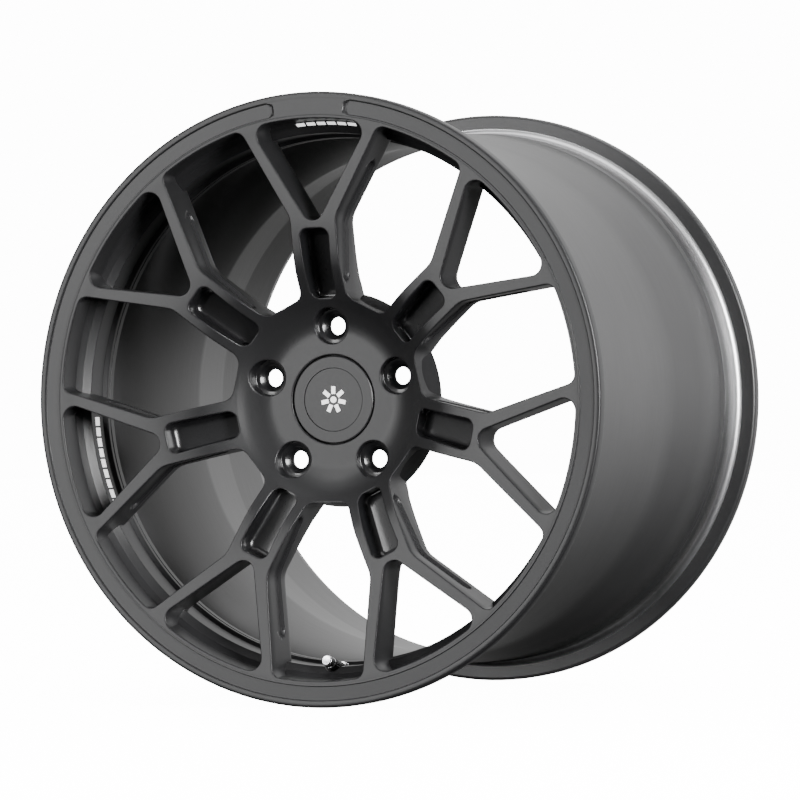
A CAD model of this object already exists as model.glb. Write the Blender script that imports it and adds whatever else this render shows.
import math

import bmesh
import bpy
import numpy as np
from mathutils import Matrix, Vector
from mathutils.geometry import delaunay_2d_cdt


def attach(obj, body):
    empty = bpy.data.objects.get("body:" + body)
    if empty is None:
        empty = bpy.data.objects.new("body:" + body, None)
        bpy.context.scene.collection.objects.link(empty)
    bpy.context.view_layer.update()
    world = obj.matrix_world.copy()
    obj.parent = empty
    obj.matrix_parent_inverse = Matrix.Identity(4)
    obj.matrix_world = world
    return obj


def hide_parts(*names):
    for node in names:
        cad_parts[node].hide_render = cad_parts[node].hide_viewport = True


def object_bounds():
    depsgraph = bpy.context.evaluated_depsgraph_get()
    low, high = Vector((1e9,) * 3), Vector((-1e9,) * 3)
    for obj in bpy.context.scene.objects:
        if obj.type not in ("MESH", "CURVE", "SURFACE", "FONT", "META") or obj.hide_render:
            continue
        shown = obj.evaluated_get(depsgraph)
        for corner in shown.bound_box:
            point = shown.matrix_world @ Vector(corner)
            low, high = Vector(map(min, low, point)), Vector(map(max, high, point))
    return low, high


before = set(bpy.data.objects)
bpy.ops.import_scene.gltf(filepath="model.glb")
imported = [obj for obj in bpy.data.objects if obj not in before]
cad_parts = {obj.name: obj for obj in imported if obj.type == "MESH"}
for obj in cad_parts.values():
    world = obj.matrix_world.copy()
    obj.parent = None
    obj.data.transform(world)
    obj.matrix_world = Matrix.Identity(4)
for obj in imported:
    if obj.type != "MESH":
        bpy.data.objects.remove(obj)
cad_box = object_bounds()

# Sizes are in millimetres. Angles are given in degrees, and HALF, PAD_ANGLE and
# VALVE_TILT hold theirs in radians. "Depth" is the distance behind the outboard
# face plane, x is to the right seen from outboard, z is up.
MM = 0.001
FACE_Y = cad_box[0][1] / MM
WIDTH = (cad_box[1][1] - cad_box[0][1]) / MM
FLANGE_R = (cad_box[1][0] - cad_box[0][0]) / MM / 2

SPOKES = 7
BOLTS = 5
SECTOR = 360 / SPOKES
HALF = math.radians(SECTOR / 2)
# The direction, as (x, z), from the axis to the middle of the first window.
MIDDLE = np.array([math.sin(HALF), math.cos(HALF)])

# Radii of the windows' outer edge, of the barrel inside and outside, and of the bead seats.
WINDOW_R = FLANGE_R - 21.5
BORE_R = FLANGE_R - 34.6
WELL_R = FLANGE_R - 28.3
BEAD_R = 231.0
# Width of a flange, the rounding at its root, and the depth where lip and barrel are welded.
FLANGE_W = 12.7
FLANGE_ROOT = 6.5
SEAM = 66.0

# Radius of a rounded edge, the flat strip kept beside it, and its steps.
ROUND = 0.9
SUPPORT = 0.7
ROUND_STEPS = 3

# Spacing of the triangles on the front and on the back of the forging.
FRONT_GRID = 3.0
BACK_GRID = 5.0


# ---- mesh building ----

class Shell:
    """Points as (x, depth, z) in millimetres, with faces, made into one object."""

    def __init__(self):
        self.points = []
        self.faces = []

    def ring(self, points):
        """Adds points and returns their numbers."""
        first = len(self.points)
        self.points.extend(tuple(map(float, p)) for p in points)
        return list(range(first, len(self.points)))

    def strip(self, a, b, closed=True, skip=None):
        """Faces between two rings of the same length, left out where skip is true."""
        count = len(a) if closed else len(a) - 1
        for i in range(count):
            if skip is not None and skip[i]:
                continue
            j = (i + 1) % len(a)
            self.faces.append((a[i], a[j], b[j], b[i]))

    def rows(self, rows):
        """Joins each closed row of points to the next."""
        rings = [self.ring(r) for r in rows]
        for a, b in zip(rings, rings[1:]):
            self.strip(a, b)
        return rings

    def tube(self, rows):
        """Joins each closed row of points to the next, and the last to the first."""
        rings = self.rows(rows)
        self.strip(rings[-1], rings[0])

    def turned(self, angle):
        """A copy turned about the wheel's axis."""
        c, s = math.cos(angle), math.sin(angle)
        out = Shell()
        out.points = [(c * x + s * z, d, c * z - s * x) for x, d, z in self.points]
        out.faces = list(self.faces)
        return out

    def add(self, other):
        """Takes in another shell's points and faces."""
        base = len(self.points)
        self.points.extend(other.points)
        self.faces.extend(tuple(i + base for i in f) for f in other.faces)


def in_wheel_frame(p):
    """Places a point drawn as (x, depth, z) in the frame, in metres."""
    return p[0] * MM, (p[1] + FACE_Y) * MM, p[2] * MM


def make(name, shell, material, body="wheel", replaces=(), crease=50, place=in_wheel_frame):
    """A smooth-shaded object from a Shell, with sharp edges over the crease angle."""
    mesh = bpy.data.meshes.new(name)
    mesh.from_pydata([place(p) for p in shell.points], [], shell.faces)
    obj = bpy.data.objects.new(name, mesh)
    bpy.context.scene.collection.objects.link(obj)
    clean(mesh)
    mesh.set_sharp_from_angle(angle=math.radians(crease))
    mesh.materials.append(material)
    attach(obj, body)
    if replaces:
        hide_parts(*replaces)
    return obj


def clean(mesh):
    """Merges double points, drops empty faces and turns every face outwards."""
    work = bmesh.new()
    work.from_mesh(mesh)
    bmesh.ops.remove_doubles(work, verts=work.verts, dist=2e-6)
    bmesh.ops.dissolve_degenerate(work, edges=work.edges, dist=1e-7)
    bmesh.ops.recalc_face_normals(work, faces=work.faces)
    for face in work.faces:
        face.smooth = True
    work.to_mesh(mesh)
    work.free()


def polar(radius, angle):
    """The point (x, z) at a radius and an angle from the top, in radians."""
    return np.array([radius * math.sin(angle), radius * math.cos(angle)])


def arc(centre, radius, start, end, steps):
    """Points (x, z) of an arc between two angles, which count from x towards z."""
    t = np.radians(np.linspace(start, end, steps + 1))
    return np.column_stack([centre[0] + radius * np.cos(t), centre[1] + radius * np.sin(t)])


def circle(centre, radius, steps):
    return arc(centre, radius, 0, 360, steps)[:-1]


def resample(path, spacing, closed=False):
    """Evenly spaced points along a path."""
    if closed:
        path = np.vstack([path, path[:1]])
    step = np.hypot(*np.diff(path, axis=0).T)
    path = path[np.concatenate([[True], step > 1e-9])]
    s = np.concatenate([[0], np.cumsum(np.hypot(*np.diff(path, axis=0).T))])
    count = max(2, int(round(s[-1] / spacing)))
    t = np.linspace(0, s[-1], count + 1)
    out = np.column_stack([np.interp(t, s, path[:, 0]), np.interp(t, s, path[:, 1])])
    return out[:-1] if closed else out


def left_normals(path, closed, first=None, last=None):
    """Unit normals on the left of a path, with those at its ends given if need be."""
    if closed:
        t = np.roll(path, -1, 0) - np.roll(path, 1, 0)
    else:
        t = np.gradient(path, axis=0)
    t = t / np.hypot(t[:, 0], t[:, 1])[:, None]
    n = np.column_stack([-t[:, 1], t[:, 0]])
    if first is not None:
        n[0] = first
    if last is not None:
        n[-1] = last
    return n


def smooth_curve(points):
    """A curve y(x) through the points without overshoot."""
    x, y = np.array(points, float).T
    h = np.diff(x)
    d = np.diff(y) / h
    m = np.zeros_like(x)
    m[0], m[-1] = d[0], d[-1]
    for i in range(1, len(x) - 1):
        if d[i - 1] * d[i] > 0:
            w1, w2 = 2 * h[i] + h[i - 1], h[i] + 2 * h[i - 1]
            m[i] = (w1 + w2) / (w1 / d[i - 1] + w2 / d[i])

    def value(q):
        q = np.clip(q, x[0], x[-1])
        i = np.clip(np.searchsorted(x, q) - 1, 0, len(h) - 1)
        t = (q - x[i]) / h[i]
        a = y[i] * (1 + 2 * t) * (1 - t) ** 2 + y[i + 1] * t * t * (3 - 2 * t)
        return a + h[i] * (m[i] * t * (1 - t) ** 2 + m[i + 1] * t * t * (t - 1))

    return value


# Depth of the forging's front and back surface at each radius.
front = smooth_curve([
    (30, 40), (54, 40), (60, 39), (74, 33.2), (82, 27.9), (96, 19.4), (110, 12.9),
    (128, 8.8), (147, 6), (180, 3.4), (216, 1.3), (229.2, 0.3), (250, 0.3)
])
back = smooth_curve([(80, 60.2), (88, 60), (104, 52), (128, 45), (160, 40), (240, 40)])


def radius_of(path):
    """Each point's distance from the wheel's axis."""
    return np.hypot(path[:, 0], path[:, 1])


def lifted(path, depth):
    """Points (x, z) made into points (x, depth, z)."""
    return np.column_stack([path[:, 0], np.broadcast_to(depth, len(path)), path[:, 1]])


def eased(t):
    """Goes smoothly from 0 to 1 as t does, and stays there past its ends."""
    t = np.clip(t, 0, 1)
    return t * t * (3 - 2 * t)


def edge_rows(path, normals, surface, inwards=1, radius=ROUND):
    """Rows of a rounded edge, from surface(radius) over to the wall along path."""
    out = path + normals * (radius + SUPPORT)
    rows = [lifted(out, surface(radius_of(out)))]
    for i in range(ROUND_STEPS + 1):
        phi = math.pi / 2 * i / ROUND_STEPS
        p = path + normals * radius * (1 - math.sin(phi))
        rows.append(lifted(p, surface(radius_of(p)) + inwards * radius * (1 - math.cos(phi))))
    return rows


def inside(points, loop):
    """Which points lie inside a closed loop."""
    x, y = points[:, 0][:, None], points[:, 1][:, None]
    x0, y0 = loop[:, 0], loop[:, 1]
    x1, y1 = np.roll(x0, -1), np.roll(y0, -1)
    crosses = (y0 > y) != (y1 > y)
    with np.errstate(divide="ignore", invalid="ignore"):
        at = x0 + (y - y0) * (x1 - x0) / (y1 - y0)
    return (np.sum(crosses & (x < at), axis=1) % 2) == 1


def fill(shell, outer, holes, depth_at, spacing):
    """Triangles over a flat region with holes, each point lifted to depth_at(points)."""
    loops = [outer] + list(holes)
    low, high = outer.min(0), outer.max(0)
    xs = np.arange(low[0], high[0], spacing)
    zs = np.arange(low[1], high[1], spacing * 0.866)
    grid = np.array([(x + (i % 2) * spacing / 2, z) for i, z in enumerate(zs) for x in xs])
    keep = inside(grid, outer)
    for hole in holes:
        keep &= ~inside(grid, hole)
    grid = grid[keep]
    border = np.vstack(loops)
    far = np.ones(len(grid), bool)
    for i in range(0, len(grid), 4000):
        gap = grid[i:i + 4000, None, :] - border[None, :, :]
        far[i:i + 4000] = np.min(np.hypot(gap[..., 0], gap[..., 1]), axis=1) > spacing * 0.55
    grid = grid[far]
    edges, base = [], 0
    for loop in loops:
        n = len(loop)
        edges += [(base + i, base + (i + 1) % n) for i in range(n)]
        base += n
    points = np.vstack([border, grid])
    made = delaunay_2d_cdt([Vector(p) for p in points], edges, [], 0, 1e-6)
    where = np.array([(v.x, v.y) for v in made[0]])
    triangles = np.array([f for f in made[2] if len(f) == 3])
    centre = where[triangles].mean(1)
    keep = inside(centre, outer)
    for hole in holes:
        keep &= ~inside(centre, hole)
    index = shell.ring(lifted(where, depth_at(where)))
    shell.faces.extend(tuple(index[i] for i in t) for t in triangles[keep])


def by_radius(curve):
    """A curve of the radius as a function of points."""
    return lambda p: curve(radius_of(p))


def rounded_profile(corners, steps=4):
    """A profile of (radius, depth) from corners (radius, depth, rounding)."""
    out = []
    n = len(corners)
    for i, (r, d, f) in enumerate(corners):
        p = np.array([r, d], float)
        if f <= 0:
            out.append(p)
            continue
        a = np.array(corners[i - 1][:2], float) - p
        b = np.array(corners[(i + 1) % n][:2], float) - p
        la, lb = np.hypot(*a), np.hypot(*b)
        a, b = a / la, b / lb
        half = math.acos(max(-1, min(1, float(a @ b)))) / 2
        cut = min(f / math.tan(half), la * 0.49, lb * 0.49)
        r_used = cut * math.tan(half)
        centre = p + (a + b) / np.hypot(*(a + b)) * r_used / math.sin(half)
        s, e = p + a * cut - centre, p + b * cut - centre
        turn = math.atan2(s[0] * e[1] - s[1] * e[0], s @ e)
        for k in range(steps + 1):
            t = turn * k / steps
            out.append(centre + np.array([
                s[0] * math.cos(t) - s[1] * math.sin(t), s[0] * math.sin(t) + s[1] * math.cos(t)
            ]))
    return np.array(out)


def lathe(profile, steps, closed=True):
    """A Shell turned about an axis from (radius, depth) points, which close on themselves or not."""
    shell = Shell()
    angles = np.linspace(0, 2 * math.pi, steps, endpoint=False)
    sx, cz = np.sin(angles), np.cos(angles)
    rows = [np.column_stack([r * sx, np.full(steps, d), r * cz]) for r, d in profile]
    if closed:
        shell.tube(rows)
    else:
        shell.rows(rows)
    return shell


# ---- materials ----

# Size and fineness of the soft mottling, fineness of the grain and its height in metres, and how
# far the roughness strays to each side.
MOTTLE_SCALE = 14
MOTTLE_DETAIL = 5
GRAIN_DETAIL = 3
GRAIN_HEIGHT = 0.0002
ROUGH_SPREAD = 0.06
# Grain is drawn out this much along x, y and z to make lathe lines.
SPUN_STRETCH = (0.02, 1, 0.02)
ENAMEL_GLOW = 1.4


def surface_material(name, colour, roughness, metallic=0.0, coat=0.0, coat_roughness=0.1, mottle=0.12,
                     grain=900, bump=0.02, spun=0.0):
    """A procedural finish with fine grain, soft mottling and, if spun, lathe lines round the axis."""
    material = bpy.data.materials.new(name)
    material.use_nodes = True
    nodes, links = material.node_tree.nodes, material.node_tree.links
    shader = nodes["Principled BSDF"]
    shader.inputs["Metallic"].default_value = metallic
    shader.inputs["Coat Weight"].default_value = coat
    shader.inputs["Coat Roughness"].default_value = coat_roughness
    place = nodes.new("ShaderNodeTexCoord").outputs["Object"]

    cloud = nodes.new("ShaderNodeTexNoise")
    cloud.inputs["Scale"].default_value = MOTTLE_SCALE
    cloud.inputs["Detail"].default_value = MOTTLE_DETAIL
    links.new(place, cloud.inputs["Vector"])
    ramp = nodes.new("ShaderNodeValToRGB")
    ramp.color_ramp.elements[0].position = 0.3
    ramp.color_ramp.elements[1].position = 0.7
    ramp.color_ramp.elements[0].color = [c * (1 - mottle) for c in colour] + [1]
    ramp.color_ramp.elements[1].color = [c * (1 + mottle) for c in colour] + [1]
    links.new(cloud.outputs["Fac"], ramp.inputs["Fac"])
    links.new(ramp.outputs["Color"], shader.inputs["Base Color"])

    fine = nodes.new("ShaderNodeTexNoise")
    fine.inputs["Scale"].default_value = grain
    fine.inputs["Detail"].default_value = GRAIN_DETAIL
    links.new(place, fine.inputs["Vector"])
    if spun:
        stretch = nodes.new("ShaderNodeMapping")
        stretch.inputs["Scale"].default_value = SPUN_STRETCH
        links.new(place, stretch.inputs["Vector"])
        links.new(stretch.outputs["Vector"], fine.inputs["Vector"])
    spread = nodes.new("ShaderNodeMapRange")
    spread.inputs["To Min"].default_value = roughness - ROUGH_SPREAD
    spread.inputs["To Max"].default_value = roughness + ROUGH_SPREAD
    links.new(fine.outputs["Fac"], spread.inputs["Value"])
    links.new(spread.outputs["Result"], shader.inputs["Roughness"])
    relief = nodes.new("ShaderNodeBump")
    relief.inputs["Strength"].default_value = max(bump, spun)
    relief.inputs["Distance"].default_value = GRAIN_HEIGHT
    links.new(fine.outputs["Fac"], relief.inputs["Height"])
    links.new(relief.outputs["Normal"], shader.inputs["Normal"])
    return material


def add_glow(material, strength):
    """Makes a material give off white light."""
    shader = material.node_tree.nodes["Principled BSDF"]
    shader.inputs["Emission Color"].default_value = (1, 1, 1, 1)
    shader.inputs["Emission Strength"].default_value = strength


face_paint = surface_material("satin_black_paint", (0.02, 0.02, 0.021), 0.38)
pocket_paint = surface_material("gloss_black_paint", (0.012, 0.012, 0.013), 0.3, coat=0.6,
                                coat_roughness=0.12)
barrel_paint = surface_material("spun_barrel_paint", (0.032, 0.032, 0.033), 0.4, coat=0.3,
                                coat_roughness=0.3, spun=0.25)
bare_alloy = surface_material("bare_alloy", (0.75, 0.75, 0.76), 0.35, metallic=1.0, spun=0.1)
bright_metal = surface_material("bright_nickel", (0.82, 0.82, 0.84), 0.18, metallic=1.0)
black_metal = surface_material("black_nickel", (0.05, 0.05, 0.055), 0.3, metallic=0.9)
brass = surface_material("machined_brass", (0.72, 0.55, 0.25), 0.3, metallic=1.0)
rubber = surface_material("black_rubber", (0.02, 0.02, 0.02), 0.75, bump=0.1)
white_enamel = surface_material("white_enamel", (0.9, 0.9, 0.9), 0.35, mottle=0.02)
add_glow(white_enamel, ENAMEL_GLOW)
cap_plastic = surface_material("satin_cap_plastic", (0.02, 0.02, 0.021), 0.38, bump=0.04)


# ---- outlines of the forged face, as (x, z) seen from outboard ----

# Half the width of a spoke's stem, and the radii of the corners at its root, at its bend,
# where an arm meets the lip, and inside the fork.
STEM = 20.2
ROOT_R, BEND_R, OUTER_R, FORK_R = 10, 22, 8, 10
# Where the windows between the spokes and the windows in the forks begin, from the axis.
WINDOW_START = 83.5
FORK_START = 145
# Edges of an arm: x at ARM_Z, and how much x grows for each millimetre of z.
ARM_Z = 160.0
ARM_OUTER = (27.5, 0.575)
ARM_INNER = (14.6, 0.62)
# Radii where the spokes' front surface meets the hub's and the lip's.
HUB_EDGE = 80.8
LIP_EDGE = WINDOW_R + 2.4
PATH_STEP = 1.5


def direction(v):
    """The angle of a vector (x, z), counted from x towards z."""
    return math.degrees(math.atan2(v[1], v[0]))


def arm(line):
    """A point on an arm's edge, its direction, and its right-hand side."""
    size = math.hypot(line[1], 1)
    return np.array([line[0], ARM_Z]), np.array([line[1], 1]) / size, np.array([1, -line[1]]) / size


def corner_at_lip(p, u, n, r):
    """Centre of a fillet that touches an arm's edge and the inside of the lip."""
    q = p + n * r
    along = q @ u
    return q + u * (-along + math.sqrt(along ** 2 - (q @ q - (WINDOW_R - r) ** 2)))


def window_side():
    """Half of a window between spokes, from its inner middle round spoke 1's right side to the lip."""
    p, u, n = arm(ARM_OUTER)
    root = np.array([STEM + ROOT_R, (WINDOW_START + ROOT_R - MIDDLE[0] * (STEM + ROOT_R)) / MIDDLE[1]])
    q = p + n * BEND_R
    bend = q + u * ((STEM + BEND_R - q[0]) / u[0])
    corner = corner_at_lip(p, u, n, OUTER_R)
    return resample(np.vstack([
        WINDOW_START * MIDDLE,
        arc(root, ROOT_R, 180 + direction(MIDDLE), 180, 24),
        arc(bend, BEND_R, 180, direction(-n), 24),
        arc(corner, OUTER_R, direction(-n), direction(corner), 32),
        arc((0, 0), WINDOW_R, direction(corner), direction(MIDDLE), 40)
    ]), PATH_STEP)


def mirrored(path):
    """The path on the other side of x = 0, run through backwards."""
    return path[::-1] * [-1, 1]


def fork_window():
    """The closed outline of the window in a spoke's fork."""
    p, u, n = arm(ARM_INNER)
    apex_z = ARM_Z - ARM_INNER[0] / ARM_INNER[1]
    sine = math.sin(math.atan(ARM_INNER[1]))
    apex_r = (FORK_START - apex_z) / (1 / sine - 1)
    apex = np.array([0, apex_z + apex_r / sine])
    corner = corner_at_lip(p, u, -n, FORK_R)
    right = np.vstack([
        arc(apex, apex_r, -90, direction(n), 20),
        arc(corner, FORK_R, direction(n), direction(corner), 32),
        arc((0, 0), WINDOW_R, direction(corner), 90, 20)
    ])
    return resample(np.vstack([right, mirrored(right)[1:-1]]), PATH_STEP, closed=True)


# The pocket in a stem: its ends, half its width at the outer and the inner end, its corners,
# and the depth and slope of its floor.
POCKET_LOW, POCKET_HIGH = 82.3, 138.3
POCKET_WIDE, POCKET_NARROW, POCKET_R = 12.6, 11.4, 7
POCKET_FLOOR, POCKET_SLOPE = 31, math.tan(math.radians(17))
POCKET_DISH = 1.0
POCKET_STEP = 1.2
POCKET_GRID = 1.6
FLOOR_FILLET = 4
FILLET_STEPS = 6


def stem_pocket():
    """The closed outline of the pocket in spoke 1's stem."""
    right = np.vstack([
        arc((POCKET_NARROW - POCKET_R, POCKET_LOW + POCKET_R), POCKET_R, -90, 0, 14),
        arc((POCKET_WIDE - POCKET_R, POCKET_HIGH - POCKET_R), POCKET_R, 0, 90, 14)
    ])
    return resample(np.vstack([right, mirrored(right)]), POCKET_STEP, closed=True)


def pocket_floor(points):
    """Depth of the sloped pocket floor, which is dished across."""
    x, z = points[:, 0], points[:, 1]
    middle = (POCKET_LOW + POCKET_HIGH) / 2
    dish = POCKET_DISH - (x / POCKET_WIDE) ** 2
    return POCKET_FLOOR - (z - middle) * POCKET_SLOPE + dish


# ---- one spoke of the forging ----

# The slot milled in a spoke's side: the radii where it starts and ends, the depth of its middle,
# half its width, how far it cuts in, and the width of its own walls.
SLOT_LOW, SLOT_HIGH = 104, 190
SLOT_DEPTH, SLOT_HALF, SLOT_CUT, SLOT_WALL = 25, 6, 2.4, 0.7
# Depths of the rows down a spoke's side, close together across the slot.
SIDE_LEVELS = np.concatenate([[12, 15], np.arange(18.4, 31.7, 0.6), [33, 36]])
# Rows that would fall past an end of the side are kept this far apart.
ROW_GAP = 0.01
# Points of a window's outline that lie this close to WINDOW_R are on the lip.
ON_LIP = 0.2


def spoke_wall(shell, path, normals, closed, along=None):
    """The rounded front edge, side wall and rounded back edge along a path.
    along is the distance of each point from the spoke's root, if a slot is milled in the wall."""
    rho = radius_of(path)
    top, bottom = front(rho) + ROUND, back(rho) - ROUND
    rows = edge_rows(path, normals, front)
    for i, level in enumerate(SIDE_LEVELS):
        depth = np.clip(level, top + ROW_GAP * (i + 1), bottom - ROW_GAP * (len(SIDE_LEVELS) - i))
        cut = np.zeros(len(path))
        if along is not None:
            low = along[rho > SLOT_LOW].min()
            high = along[rho > SLOT_HIGH].min()
            past_end = np.maximum(np.maximum(low - along, along - high), 0)
            away = np.hypot(past_end, depth - SLOT_DEPTH)
            cut = SLOT_CUT * eased((SLOT_HALF - away) / SLOT_WALL + 0.5)
        rows.append(lifted(path + normals * cut[:, None], depth))
    rows += edge_rows(path, normals, back, inwards=-1)[::-1]
    rings = [shell.ring(r) for r in rows]
    on_lip = rho > WINDOW_R - ON_LIP
    against_lip = on_lip & np.roll(on_lip, -1)
    front_edge = ROUND_STEPS + 1
    for i, (a, b) in enumerate(zip(rings, rings[1:])):
        shell.strip(a, b, closed, None if i < front_edge else against_lip)


def spoke_shell():
    """Spoke 1 with its share of the face, without the side walls that lie against the lip."""
    shell = Shell()
    right = window_side()
    n_right = left_normals(right, False, -MIDDLE, MIDDLE)
    left = mirrored(right)
    n_left = mirrored(n_right)
    fork = fork_window()
    n_fork = -left_normals(fork, True)
    pocket = stem_pocket()
    n_pocket = -left_normals(pocket, True)
    along = np.arange(len(right)) * PATH_STEP
    spoke_wall(shell, right, n_right, False, along)
    spoke_wall(shell, left, n_left, False, along[::-1])
    spoke_wall(shell, fork, n_fork, True)

    reach = ROUND + SUPPORT
    inner = arc((0, 0), HUB_EDGE, 90 + SECTOR / 2, 90 - SECTOR / 2, 36)
    outer = arc((0, 0), LIP_EDGE, 90 - SECTOR / 2, 90 + SECTOR / 2, 60)
    outline = np.vstack([inner, right + n_right * reach, outer, left + n_left * reach])
    fork_edge = fork + n_fork * reach
    fill(shell, outline, [fork_edge, pocket + n_pocket * reach], by_radius(front), FRONT_GRID)
    fill(shell, outline, [fork_edge], by_radius(back), BACK_GRID)
    return shell


def pocket_shell():
    """The gloss pocket in a stem: its walls and its floor."""
    shell = Shell()
    pocket = stem_pocket()
    outwards = -left_normals(pocket, True)
    floor = pocket_floor(pocket)
    lip = edge_rows(pocket, outwards, front)
    rows = lip[-2:]
    top = front(radius_of(pocket)) + ROUND
    for t in (0.25, 0.5, 0.75):
        rows.append(lifted(pocket, top + (floor - FLOOR_FILLET - top) * t))
    for i in range(FILLET_STEPS + 1):
        phi = math.pi / 2 * i / FILLET_STEPS
        p = pocket - outwards * FLOOR_FILLET * (1 - math.cos(phi))
        level = pocket_floor(p) * (1 - math.cos(phi)) + floor * math.cos(phi)
        rows.append(lifted(p, level - FLOOR_FILLET * (1 - math.sin(phi))))
    shell.rows(rows)
    edge = pocket - outwards * FLOOR_FILLET
    fill(shell, edge, [], pocket_floor, POCKET_GRID)
    return shell


def pocket_lip():
    """The painted rounded edge round a stem pocket."""
    shell = Shell()
    pocket = stem_pocket()
    shell.rows(edge_rows(pocket, -left_normals(pocket, True), front)[:-1])
    return shell


# ---- hub ----

# Radii of the bolts' circle, of a nut well, of the recess for the cap and of a bolt hole.
BOLT_CIRCLE = 60
WELL = 14.7
CAP_RECESS = 36.6
BOLT_HOLE = 7.3
# Depth of the mounting face, its outer radius, the radius of the bore's mouth, and its chamfers.
MOUNT = 62.0
MOUNT_R = 85
BORE_MOUTH = 37.8
CHAMFER = 0.6
# Radius and floor depth of the relief behind a bolt hole, and of a blind pocket between two.
RELIEF = (10, 55)
BLIND = (12, 53)
BLIND_CIRCLE = 62
HUB_GRID = 6.0
# The bore from the recess to the mounting face, as (radius, depth, rounding), with the groove
# that the cap's legs snap into.
BORE = (
    (CAP_RECESS, 40 + ROUND, 0), (CAP_RECESS, 47, 0.5), (34, 47, 0.4), (34, 50, 0.4), (37.5, 50, 0.4),
    (37.5, 54.4, 0.4), (36.3, 54.4, 0.3), (36.3, 60.5, 0), (BORE_MOUTH, MOUNT, 0)
)
HUB_SIDE = ((MOUNT_R, MOUNT, 0), (88, 60, 1.5), (82, 29, 0))
# Depth where the wall of a nut well ends, and the well's foot below it as (radius, depth): its
# floor, the tapered seat and the bolt hole.
WELL_WALL_END = 45
WELL_FOOT = (
    (14.4, 45.7), (13.7, 46), (11.3, 46), (10.9, 46.3), (7.6, 50.2), (BOLT_HOLE, 50.6), (BOLT_HOLE, 55)
)


def at_bolt(k, radius=BOLT_CIRCLE, offset=0.0):
    """The point (x, z) of bolt k, or offset turns of the bolt spacing past it."""
    return polar(radius, math.radians(360 / BOLTS * (k + offset)))


def mount_level(points):
    """The mounting face's depth at each point."""
    return np.full(len(points), MOUNT)


def blind_hole(shell, place, radius, floor, hole):
    """A chamfered hole in the mounting face, with a floor round a smaller hole. Returns its edge."""
    edge = circle(place, radius + CHAMFER, 48)
    n = (edge - place) / (radius + CHAMFER)
    shell.rows([
        lifted(edge, MOUNT), lifted(place + n * radius, MOUNT - CHAMFER),
        lifted(place + n * radius, floor + 1), lifted(place + n * (radius - 1), floor),
        lifted(place + n * (hole + 0.01), floor)
    ])
    return edge


def hub_shell():
    """The hub with its face, bore and mounting face, without the walls of the nut wells."""
    shell = Shell()
    outer = arc((0, 0), HUB_EDGE, 90 + SECTOR / 2, 90 + SECTOR / 2 - 360, 36 * SPOKES)[:-1][::-1]
    holes = []
    for k in range(BOLTS):
        well = circle(at_bolt(k), WELL, 72)
        outwards = (well - at_bolt(k)) / WELL
        shell.rows(edge_rows(well, outwards, front))
        holes.append(well + outwards * (ROUND + SUPPORT))
    recess = circle((0, 0), CAP_RECESS, 120)
    outwards = recess / CAP_RECESS
    shell.rows(edge_rows(recess, outwards, front))
    holes.append(recess + outwards * (ROUND + SUPPORT))
    fill(shell, outer, holes, by_radius(front), FRONT_GRID)

    shell.add(lathe(rounded_profile(BORE), 144, closed=False))
    shell.add(lathe(rounded_profile(HUB_SIDE), 144, closed=False))
    backs = [circle((0, 0), BORE_MOUTH, 144)]
    for k in range(BOLTS):
        backs.append(blind_hole(shell, at_bolt(k), *RELIEF, BOLT_HOLE))
        backs.append(blind_hole(shell, at_bolt(k, BLIND_CIRCLE, 0.5), *BLIND, 0))
    fill(shell, circle((0, 0), MOUNT_R, 144), backs, mount_level, HUB_GRID)
    return shell


def nut_wells():
    """The gloss wells for the wheel nuts, with tapered seats and bolt holes."""
    shell = Shell()
    for k in range(BOLTS):
        centre = at_bolt(k)
        unit = circle((0, 0), 1, 72)
        well = centre + unit * WELL
        rows = edge_rows(well, unit, front)[-2:]
        top = front(radius_of(well)) + ROUND
        rows += [lifted(well, top + (WELL_WALL_END - top) * t) for t in (0.3, 0.7, 1.0)]
        rows += [lifted(centre + unit * r, d) for r, d in WELL_FOOT]
        shell.rows(rows)
    return shell


# ---- lip and barrel ----

# The channel round the lip's face: the radius of its middle, half its width, how deep it is,
# and the width of its walls. The pad that stops it reaches PAD_ANGLE to each side of the top.
CHANNEL_MID = 236.65
CHANNEL_HALF = 6.15
CHANNEL_CUT = 1.3
CHANNEL_WALL = 0.7
PAD_ANGLE = math.radians(7.4)
# Depth of the lip's face beside the channel, and the rows across the channel.
LIP_FACE = 0.2
CHANNEL_ROWS = (0.15, 0.35, 0.55, 0.7, 1.2, 3, 6.15, 9.3, 11.1, 11.6, 11.75, 11.95, 12.15)
# Radius of the shelf behind the lip's wall, where the valve stands.
SHELF_R = WINDOW_R - 10.3
# Depths where the barrel's ramp starts and ends, and the radius that blends both ends.
RAMP_START, RAMP_END, RAMP_BLEND = 232, 300, 220
# The knurl on the rear bead seat: how far it stands out and how much its points rise above that.
KNURL_COLUMNS = 1440
KNURL_BASE = 0.1
KNURL_HEIGHT = 0.2


def channel_depth(radius, angle):
    """Depth of the channel round the lip, which stops with round ends at the pad on top."""
    along = (np.abs((angle + math.pi) % (2 * math.pi) - math.pi) - PAD_ANGLE) * CHANNEL_MID
    away = np.hypot(np.maximum(CHANNEL_HALF - along, 0), radius - CHANNEL_MID)
    return CHANNEL_CUT * eased((CHANNEL_HALF - away) / CHANNEL_WALL)


def lip_angles():
    """The angles of the lip's columns, close together at the two ends of the channel."""
    pad = np.degrees(PAD_ANGLE)
    fine = pad + np.arange(0, 3.0, 0.15)
    across_pad = [np.arange(0, 7.4, 0.7), np.arange(352.8, 360, 0.7)]
    return np.radians(np.unique(np.concatenate([
        fine, 360 - fine, *across_pad, np.arange(10.6, 349.5, 0.75)
    ])))


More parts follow.
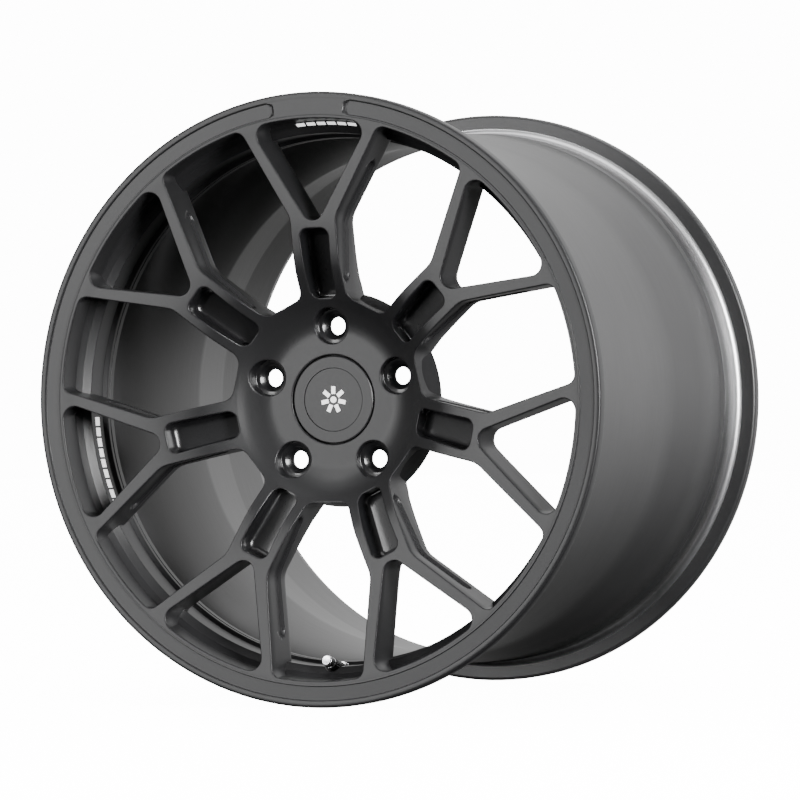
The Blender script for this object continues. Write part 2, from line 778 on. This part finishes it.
def lip_shell():
    """The outer lip as one closed body of revolution, with the channel pressed into its face."""
    inner, outer = CHANNEL_MID - CHANNEL_HALF, CHANNEL_MID + CHANNEL_HALF
    face = [(LIP_EDGE, 0.3), (inner, LIP_FACE)]
    face += [(inner + t, LIP_FACE) for t in CHANNEL_ROWS]
    face += [(outer + 0.1, LIP_FACE)]
    rest = rounded_profile([
        (outer + 0.8, 0, 0), (FLANGE_R, 0, 5), (FLANGE_R, FLANGE_W, 3),
        (BEAD_R, FLANGE_W, FLANGE_ROOT), (BEAD_R - 1.3, 38, 4), (BEAD_R - 0.2, 41, 3),
        (BEAD_R - 1.3, 52, 3), (WELL_R, SEAM - 2, 3), (WELL_R, SEAM, 0), (BORE_R + 0.3, SEAM, 0),
        (BORE_R, SEAM - 0.4, 0), (BORE_R, SEAM - 5.8, 0), (BORE_R + 0.5, SEAM - 6.2, 0),
        (BORE_R + 0.5, SEAM - 7.4, 0), (BORE_R, SEAM - 7.8, 0), (BORE_R, SEAM - 11, 2),
        (SHELF_R, 51, 2), (SHELF_R, 31, 1), (WINDOW_R - 7.5, 28.5, 1.5), (WINDOW_R - 4.8, 26, 1.5),
        (WINDOW_R - 0.8, 20, 5), (WINDOW_R, 1.7, 0)
    ], 5)
    angles = lip_angles()
    rows = []
    for radius, depth in face + [tuple(p) for p in rest]:
        d = np.full(len(angles), float(depth))
        if abs(radius - CHANNEL_MID) < CHANNEL_HALF + 0.05 and depth < 1:
            d = d + channel_depth(radius, angles)
        rows.append(np.column_stack([radius * np.sin(angles), d, radius * np.cos(angles)]))
    shell = Shell()
    shell.tube(rows)
    return shell


def barrel_shell():
    """The barrel as one closed body of revolution, from the weld to the rear flange."""
    return lathe(rounded_profile([
        (BORE_R + 0.3, SEAM, 0), (WELL_R, SEAM, 0), (WELL_R, RAMP_START, RAMP_BLEND),
        (BEAD_R - 2, RAMP_END, RAMP_BLEND), (BEAD_R - 1.6, WIDTH - 46, 3),
        (BEAD_R - 0.2, WIDTH - 41, 2), (BEAD_R - 1.3, WIDTH - 38, 0),
        (BEAD_R - 1.3, WIDTH - 37.5, 0), (BEAD_R - 0.3, WIDTH - FLANGE_W - 7.5, 0),
        (BEAD_R, WIDTH - FLANGE_W, FLANGE_ROOT), (FLANGE_R, WIDTH - FLANGE_W, 3), (FLANGE_R, WIDTH, 5),
        (FLANGE_R - 9, WIDTH, 2), (FLANGE_R - 14, WIDTH - 5, 3), (FLANGE_R - 20, WIDTH - 13, 4),
        (BEAD_R - 6, WIDTH - 26, 4), (BEAD_R - 9.5, RAMP_END - 8, 60), (BORE_R, RAMP_START - 3, 60),
        (BORE_R, SEAM + 0.4, 0)
    ], 12), 480)


def knurl_shell():
    """The bare knurled band over the rear bead seat and the root of the rear flange."""
    shell = Shell()
    odd = np.arange(KNURL_COLUMNS) % 2
    angles = np.linspace(0, 2 * math.pi, KNURL_COLUMNS, endpoint=False)
    root_start = WIDTH - FLANGE_W - FLANGE_ROOT
    seat = [(BEAD_R - 1.25, WIDTH - 37), (BEAD_R, root_start)]
    root = arc((BEAD_R + FLANGE_ROOT, root_start), FLANGE_ROOT, 180, 90, 12)
    path = resample(np.vstack([seat, root, [(BEAD_R + 8.5, WIDTH - FLANGE_W)]]), 1.0)
    normals = left_normals(path, False)
    rows = []
    for i, (point, normal) in enumerate(zip(path, normals)):
        proud = KNURL_BASE + KNURL_HEIGHT * ((odd + i) % 2)
        if i in (0, len(path) - 1):
            proud = 0.0
        r, d = point[0] + normal[0] * proud, point[1] + normal[1] * proud
        d = np.broadcast_to(d, KNURL_COLUMNS)
        rows.append(np.column_stack([r * np.sin(angles), d, r * np.cos(angles)]))
    shell.rows(rows)
    return shell


# ---- the wheel's pieces ----

def add_forging():
    """The seven spokes with their gloss pockets, and the hub with its gloss nut wells."""
    spoke = spoke_shell()
    gloss = pocket_shell()
    rim = pocket_lip()
    for k in range(SPOKES):
        angle = -k * 2 * HALF
        painted = spoke.turned(angle)
        painted.add(rim.turned(angle))
        node = f"y_spoke_{k + 1}"
        make(node + "_forged", painted, face_paint, replaces=[node])
        make(node + "_pocket", gloss.turned(angle), pocket_paint)
    make("hub_centre_forged", hub_shell(), face_paint, replaces=["hub_centre"])
    make("hub_nut_wells", nut_wells(), pocket_paint)


def cut_with(obj, cutter):
    """Cuts one object with another and keeps the result as its mesh."""
    modifier = obj.modifiers.new("cut", "BOOLEAN")
    modifier.operation = "DIFFERENCE"
    modifier.solver = "EXACT"
    modifier.object = cutter
    bpy.context.view_layer.update()
    result = bpy.data.meshes.new_from_object(obj.evaluated_get(bpy.context.evaluated_depsgraph_get()))
    obj.modifiers.clear()
    obj.data = result
    bpy.data.objects.remove(cutter)


# The valve's lean from the wheel's axis, its length above the shelf, and its direction and tip.
VALVE_TILT = math.radians(17)
VALVE_LENGTH = 34.5
VALVE_OUT = Vector((0, -math.cos(VALVE_TILT), math.sin(VALVE_TILT)))
VALVE_TIP = Vector((0, 19 + FACE_Y, -210.5))
# Cuts round the valve as (radius, lowest, highest level): the spot face, the hole, and its recess.
VALVE_CUTS = ((7, 0, 30), (4.9, -12, 4), (6, -12, -5))


def in_valve_frame(p):
    """Places a point drawn as (x, height, z) round the valve's own axis."""
    side = Vector((1, 0, 0))
    up = side.cross(VALVE_OUT)
    place = VALVE_TIP - VALVE_OUT * VALVE_LENGTH + side * p[0] + up * p[2] + VALVE_OUT * p[1]
    return tuple(place * MM)


def valve_lathe(profile):
    """A Shell turned round the valve's axis from (radius, level, rounding) corners."""
    return lathe(rounded_profile(profile, 3), 64)


def add_lip():
    """The outer lip, cut open for the valve."""
    lip = make("outer_lip_forged", lip_shell(), face_paint, replaces=["outer_lip"])
    for radius, low, high in VALVE_CUTS:
        shell = valve_lathe([(0.01, low, 0), (radius, low, 0), (radius, high, 0), (0.01, high, 0)])
        cut_with(lip, make("cutter", shell, face_paint, place=in_valve_frame))
    lip.data.set_sharp_from_angle(angle=math.radians(35))


# How far a bar stands out, and its share of the spacing.
BAR_HEIGHT = 0.15
BAR_SHARE = 0.8


def lip_bars(centre, span, count, inner, outer):
    """Short bars round the lip over span degrees about centre, between two (radius, depth) points."""
    shell = Shell()
    across = np.array([inner, outer], dtype=float)
    along = across[1] - across[0]
    proud = BAR_HEIGHT * np.array([along[1], -along[0]]) / np.hypot(*along)
    proud *= -1 if proud[0] > 0 else 1
    section = np.vstack([across, (across + proud)[::-1]])
    pitch = span / count
    for k in range(count):
        start = centre - span / 2 + k * pitch
        rows = []
        for angle in np.radians(np.linspace(start, start + pitch * BAR_SHARE, 8)):
            rows.append(np.column_stack([
                section[:, 0] * math.sin(angle), section[:, 1], section[:, 0] * math.cos(angle)
            ]))
        first = np.repeat(rows[0].mean(axis=0)[None], 4, axis=0)
        last = np.repeat(rows[-1].mean(axis=0)[None], 4, axis=0)
        shell.rows([first] + rows + [last])
    return shell


def add_bars():
    """Plain white bars on the lip's wall at the top and on its shelf at one side."""
    top = lip_bars(1.7, 14.0, 6, (WINDOW_R - 1.9, 21.7), (WINDOW_R - 4.0, 24.8))
    make("lip_top_bars", top, white_enamel, crease=30)
    side = lip_bars(-103.0, 21.0, 9, (SHELF_R, 37.5), (SHELF_R, 44.5))
    make("lip_side_bars", side, white_enamel, crease=30)


def add_barrel():
    """The barrel in its spun paint, and the bare knurled band at its rear."""
    make("inner_barrel_spun", barrel_shell(), barrel_paint, replaces=["inner_barrel"])
    make("rear_bead_knurl", knurl_shell(), bare_alloy, crease=80)


def ribbed_sleeve(levels, ribs, height, inner):
    """A sleeve of (radius, level) rows, ribbed from its third to its last but two, open inside."""
    shell = Shell()
    columns = ribs * 4
    angles = np.linspace(0, 2 * math.pi, columns, endpoint=False)
    ridge = height * (np.arange(columns) % 4 < 2)
    profile = list(levels) + [(inner, levels[-1][1]), (inner, levels[0][1]), levels[0]]
    rows = []
    for i, (radius, level) in enumerate(profile):
        r = radius + (ridge if 1 < i < len(levels) - 2 else 0)
        rows.append(np.column_stack([r * np.cos(angles), np.full(columns, level), r * np.sin(angles)]))
    shell.rows(rows)
    return shell


# Turned shapes round the valve's axis, as (radius, level) or (radius, level, rounding).
CAP_SLEEVE = ((4.2, 26.6), (4.3, 26.8), (4.3, 27.1), (4.3, 32.4), (4.3, 32.7), (4.2, 32.9))
CAP_INSIDE = 4.1
CAP_RIBS, CAP_RIB_HEIGHT = 24, 0.25
CAP_PLUG = (
    (0.01, 32.5, 0), (CAP_INSIDE, 32.5, 0), (CAP_INSIDE, 32.9, 0), (4.55, 32.9, 0.1), (4.55, 33.9, 0.5),
    (3.6, VALVE_LENGTH, 0.4), (0.01, VALVE_LENGTH, 0)
)
CAP_FOOT = ((CAP_INSIDE, 25, 0), (4.6, 25, 0.2), (4.6, 26.6, 0.2), (CAP_INSIDE, 26.6, 0))
STEM_COLLAR = ((4.4, 8.2), (4.7, 8.4), (4.7, 8.6), (4.7, 22.8), (4.7, 23), (4.4, 23.2))
STEM_INSIDE = 4.36
STEM_RIBS, STEM_RIB_HEIGHT = 20, 0.3


def add_valve():
    """The valve cap, a black ribbed sleeve with a bright end and foot, and the stem's ribbed collar."""
    sleeve = ribbed_sleeve(CAP_SLEEVE, CAP_RIBS, CAP_RIB_HEIGHT, CAP_INSIDE)
    make("valve_cap_sleeve", sleeve, black_metal, body="valve_cap", crease=30,
         replaces=["valve_cap"], place=in_valve_frame)
    for name, profile in (("valve_cap_end", CAP_PLUG), ("valve_cap_foot", CAP_FOOT)):
        make(name, valve_lathe(profile), bright_metal, body="valve_cap",
             place=in_valve_frame)
    collar = ribbed_sleeve(STEM_COLLAR, STEM_RIBS, STEM_RIB_HEIGHT, STEM_INSIDE)
    make("valve_stem_ribs", collar, black_metal, crease=30, place=in_valve_frame)


def finish(node, material):
    """Gives a CAD node that stays visible its material."""
    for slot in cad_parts[node].material_slots:
        slot.material = material


def dress_cad_nodes():
    """The finishes of the CAD nodes that no piece replaces."""
    finish("centre_cap", cap_plastic)
    finish("cap_badge", cap_plastic)
    finish("cap_emblem", white_enamel)
    for node in ("valve_washer", "valve_nut", "cap_spring_ring", "valve_core_spring"):
        finish(node, bright_metal)
    for node in ("valve_stem", "valve_stem_thread"):
        finish(node, black_metal)
    for node in ("valve_grommet", "valve_core_seal", "valve_cap_seal"):
        finish(node, rubber)
    for node in ("valve_core_body", "valve_core_pin"):
        finish(node, brass)


# ---- camera, floor and light ----

# Where the camera stands, in degrees round the wheel, up and rolled, its distance from a point
# near the face, and how far it is moved to the right and up to frame the wheel.
CAMERA_AZIMUTH, CAMERA_LIFT, CAMERA_ROLL = 23.64, -0.13, -0.92
CAMERA_DISTANCE, CAMERA_ASIDE, CAMERA_ABOVE = 3689.5, 68.56, -0.15
CAMERA_AIM_DEPTH = 5
CAMERA_LENS, CAMERA_SENSOR = 206, 36
# Half the floor's width, and its drop below the wheel, in metres.
FLOOR_SIZE = 12.0
FLOOR_DROP = 0.0005
# Strength of the white behind the wheel and of the floor's own light, and of the glow that
# lights the wheel, from the camera's side and from behind.
BACKDROP = 14.0
FLOOR_GLOW = 14.0
FRONT_GLOW = 0.2
BACK_GLOW = 1.5


def add_camera():
    """The camera, which looks at the wheel from its front right."""
    azimuth, lift, roll = (math.radians(a) for a in (CAMERA_AZIMUTH, CAMERA_LIFT, CAMERA_ROLL))
    level = math.cos(lift)
    backward = Vector((math.sin(azimuth) * level, -math.cos(azimuth) * level, math.sin(lift)))
    right = Vector((math.cos(azimuth), math.sin(azimuth), 0))
    up = backward.cross(right)
    turned_right = right * math.cos(roll) + up * math.sin(roll)
    turned_up = up * math.cos(roll) - right * math.sin(roll)
    place = turned_right * CAMERA_ASIDE + turned_up * CAMERA_ABOVE + backward * CAMERA_DISTANCE
    place += Vector((0, CAMERA_AIM_DEPTH + FACE_Y, 0))
    data = bpy.data.cameras.new("camera")
    data.sensor_width = CAMERA_SENSOR
    data.lens = CAMERA_LENS
    data.clip_end = 60
    camera = bpy.data.objects.new("camera", data)
    bpy.context.scene.collection.objects.link(camera)
    camera.matrix_world = Matrix((
        (turned_right[0], turned_up[0], backward[0], place[0] * MM),
        (turned_right[1], turned_up[1], backward[1], place[1] * MM),
        (turned_right[2], turned_up[2], backward[2], place[2] * MM),
        (0, 0, 0, 1)
    ))
    bpy.context.scene.camera = camera


def add_floor():
    """A white floor that glows like the backdrop, so hardly any shadow shows on it. The camera
    sees it, but the wheel gets no light from it and does not mirror it."""
    paint = surface_material("pale_floor", (0.9, 0.9, 0.9), 0.6, mottle=0.01, grain=60, bump=0.0)
    mesh = bpy.data.meshes.new("floor")
    z = cad_box[0][2] - FLOOR_DROP
    corners = [(x * FLOOR_SIZE, y * FLOOR_SIZE, z) for x, y in ((-1, -1), (1, -1), (1, 1), (-1, 1))]
    mesh.from_pydata(corners, [], [(0, 1, 2, 3)])
    add_glow(paint, FLOOR_GLOW)
    mesh.materials.append(paint)
    floor = bpy.data.objects.new("floor", mesh)
    floor.visible_glossy = False
    floor.visible_diffuse = False
    bpy.context.scene.collection.objects.link(floor)


def add_lamp(name, place, size, power):
    """A rectangular lamp that points at the wheel's middle, in metres and watts."""
    data = bpy.data.lights.new(name, "AREA")
    data.shape = "RECTANGLE"
    data.size, data.size_y = size
    data.energy = power
    lamp = bpy.data.objects.new(name, data)
    lamp.location = place
    lamp.rotation_euler = (-Vector(place)).to_track_quat("-Z", "Y").to_euler()
    bpy.context.scene.collection.objects.link(lamp)


def smooth_range(nodes, start, end, low=0.0, high=1.0):
    """A node that goes smoothly from low to high as its value goes from start to end."""
    node = nodes.new("ShaderNodeMapRange")
    node.interpolation_type = "SMOOTHSTEP"
    node.inputs["From Min"].default_value = start
    node.inputs["From Max"].default_value = end
    node.inputs["To Min"].default_value = low
    node.inputs["To Max"].default_value = high
    return node


def add_world():
    """A white backdrop for the camera, and for everything else a softer glow that grows from front
    to back and fades out below the horizon."""
    world = bpy.data.worlds.new("studio")
    world.use_nodes = True
    nodes, links = world.node_tree.nodes, world.node_tree.links
    seen = nodes["Background"]
    seen.inputs["Color"].default_value = (1, 1, 1, 1)
    seen.inputs["Strength"].default_value = BACKDROP
    glow = nodes.new("ShaderNodeBackground")
    towards = nodes.new("ShaderNodeTexCoord")
    split = nodes.new("ShaderNodeSeparateXYZ")
    links.new(towards.outputs["Generated"], split.inputs["Vector"])
    height = smooth_range(nodes, -0.5, 0.1)
    links.new(split.outputs["Z"], height.inputs["Value"])
    behind = smooth_range(nodes, -0.2, 0.7, FRONT_GLOW, BACK_GLOW)
    links.new(split.outputs["Y"], behind.inputs["Value"])
    product = nodes.new("ShaderNodeMath")
    product.operation = "MULTIPLY"
    links.new(height.outputs["Result"], product.inputs[0])
    links.new(behind.outputs["Result"], product.inputs[1])
    links.new(product.outputs["Value"], glow.inputs["Strength"])
    path = nodes.new("ShaderNodeLightPath")
    either = nodes.new("ShaderNodeMixShader")
    links.new(path.outputs["Is Camera Ray"], either.inputs["Fac"])
    links.new(glow.outputs["Background"], either.inputs[1])
    links.new(seen.outputs["Background"], either.inputs[2])
    links.new(either.outputs["Shader"], nodes["World Output"].inputs["Surface"])
    bpy.context.scene.world = world


def add_light():
    """The backdrop and four soft lamps."""
    add_world()
    add_lamp("face_softbox", (-1.35, -2.6, 0.1), (1.7, 1.6), 45)
    add_lamp("high_softbox", (-1.2, -2.3, 1.5), (0.7, 0.7), 14)
    add_lamp("rim_softbox", (2.4, -1.4, 0.6), (0.8, 1.6), 130)
    add_lamp("top_softbox", (0.2, 0.2, 2.6), (3.0, 3.0), 60)


add_forging()
add_lip()
add_bars()
add_barrel()
add_valve()
dress_cad_nodes()
add_camera()
add_floor()
add_light()
